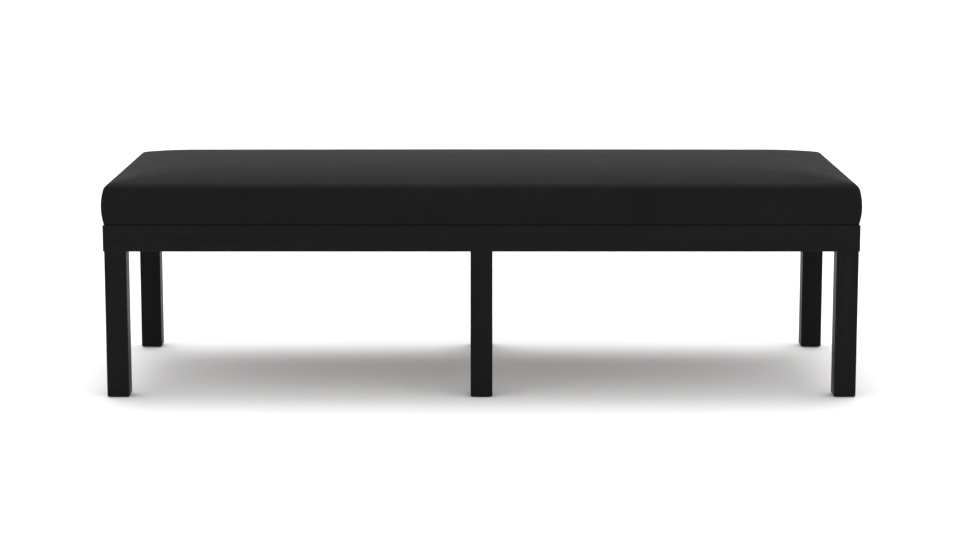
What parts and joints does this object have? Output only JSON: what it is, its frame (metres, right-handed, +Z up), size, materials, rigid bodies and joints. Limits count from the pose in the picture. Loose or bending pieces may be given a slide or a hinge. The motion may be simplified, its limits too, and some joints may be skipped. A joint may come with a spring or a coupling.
{
  "type": "upholstered bench",
  "caption": "Long low upholstered bench with a crowned black leather cushion on a square-edged rail frame and straight square legs.",
  "frame": {"origin": "on the floor, below the middle of the bench", "axes": "+X along the bench's length, +Y from the front to the back, +Z up"},
  "size_m": [1.53, 0.59, 0.4571],
  "materials": {
    "black_leather": "satin",
    "black_wood": "satin",
    "beech": "matte",
    "plywood": "matte",
    "foam": "matte",
    "batting": "matte",
    "cambric": "matte",
    "zinc_steel": "satin",
    "black_nylon": "matte"
  },
  "bodies": {
    "root": {"back_centre_glide": "black_nylon", "back_centre_leg": "black_wood", "back_left_corner_block": "beech", "back_left_glide": "black_nylon", "back_left_leg": "black_wood", "back_rail": "black_wood", "back_right_corner_block": "beech", "back_right_glide": "black_nylon", "back_right_leg": "black_wood", "batting_wrap": "batting", "centre_cross_rail": "beech", "corner_block_screws": "zinc_steel", "cover_staples": "zinc_steel", "dust_cover": "cambric", "dust_cover_staples": "zinc_steel", "foam_base": "foam", "foam_topper": "foam", "front_centre_glide": "black_nylon", "front_centre_leg": "black_wood", "front_left_corner_block": "beech", "front_left_glide": "black_nylon", "front_left_leg": "black_wood", "front_rail": "black_wood", "front_right_corner_block": "beech", "front_right_glide": "black_nylon", "front_right_leg": "black_wood", "glide_screws": "zinc_steel", "left_cross_rail": "beech", "left_end_rail": "black_wood", "leg_dowels": "beech", "leg_hanger_bolts": "zinc_steel", "leg_nuts": "zinc_steel", "leg_washers": "zinc_steel", "mitre_dowels": "beech", "right_cross_rail": "beech", "right_end_rail": "black_wood", "seat_cover": "black_leather", "seat_deck": "plywood", "seat_insert_nuts": "zinc_steel", "seat_screw_washers": "zinc_steel", "seat_screws": "zinc_steel"}
  },
  "joints": []
}
